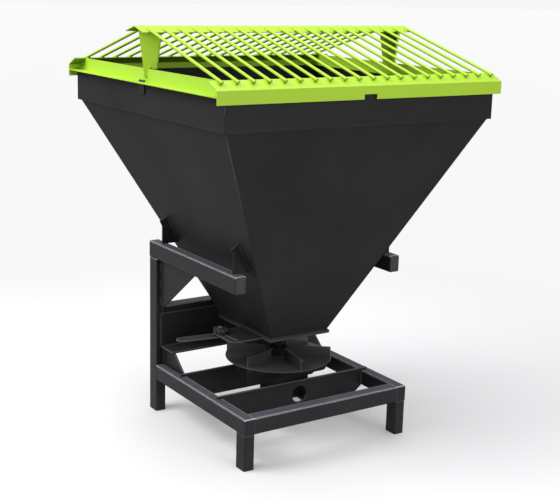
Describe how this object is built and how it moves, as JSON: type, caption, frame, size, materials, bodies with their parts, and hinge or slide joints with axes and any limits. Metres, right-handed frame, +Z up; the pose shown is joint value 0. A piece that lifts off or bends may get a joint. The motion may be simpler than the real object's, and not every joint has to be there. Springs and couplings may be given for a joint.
{
  "type": "tractor sand spreader",
  "caption": "Mounted sand spreader: tube stand with hitch, tapered hopper on two arms, turning disc with vanes under a metering shutter, roof-shaped bar grille on top.",
  "frame": {"origin": "on the ground under the middle of the hopper's mouth", "axes": "+Z up, +Y towards the tractor, +X across the machine"},
  "size_m": [1.114, 1.06, 1.445],
  "materials": {
    "black_paint": "satin",
    "hopper_paint": "satin",
    "green_paint": "satin",
    "motor_iron": "satin",
    "knob_plastic": "matte",
    "bare_steel": "brushed"
  },
  "bodies": {
    "stand": {"side_rail_left": "black_paint", "side_rail_right": "black_paint", "front_leg_left": "black_paint", "front_leg_right": "black_paint", "upright_left": "black_paint", "upright_right": "black_paint", "arm_left": "black_paint", "arm_right": "black_paint", "front_rail": "black_paint", "upper_gussets": "black_paint", "lower_gussets": "black_paint", "cross_plate_front": "black_paint", "cross_plate_rear": "black_paint", "hitch_plate": "black_paint", "hitch_cross_tube": "black_paint", "lower_link_lugs": "black_paint", "top_link_mast": "black_paint", "mast_braces": "black_paint", "hopper_wall_front": "hopper_paint", "hopper_wall_rear": "hopper_paint", "hopper_wall_left": "hopper_paint", "hopper_wall_right": "hopper_paint", "rim_front_rear": "hopper_paint", "rim_left_right": "hopper_paint", "outlet_flange": "hopper_paint", "hopper_gussets": "hopper_paint", "lid_hooks": "black_paint", "metering_plate": "black_paint", "shutter_bush": "black_paint", "motor": "motor_iron", "motor_bridge": "black_paint", "bridge_bars": "black_paint"},
    "shutter": {"shutter_plate": "black_paint", "metering_lever": "black_paint", "star_knob": "knob_plastic"},
    "spinner": {"spreading_disc": "black_paint", "disc_hub": "black_paint", "vanes": "black_paint", "drive_shaft": "bare_steel", "agitator": "black_paint"},
    "grille": {"grille_rail_front": "green_paint", "grille_rail_rear": "green_paint", "grille_end_left": "green_paint", "grille_end_right": "green_paint", "ridge_cap": "green_paint", "bars_front": "green_paint", "bars_rear": "green_paint", "ridge_posts": "green_paint"}
  },
  "joints": [
    {"name": "disc_spin", "type": "hinge", "parent": "stand", "child": "spinner", "pos_m": [0, -0.048, 0.261], "axis": [0, 0, 1], "continuous": true},
    {"name": "shutter_turn", "type": "hinge", "parent": "stand", "child": "shutter", "pos_m": [0, -0.048, 0.361], "axis": [0, 0, 1], "range_deg": [0, 23]},
    {"name": "grille_lift", "type": "slide", "parent": "stand", "child": "grille", "axis": [0, 0, 1], "range_m": [0, 0.35]}
  ]
}
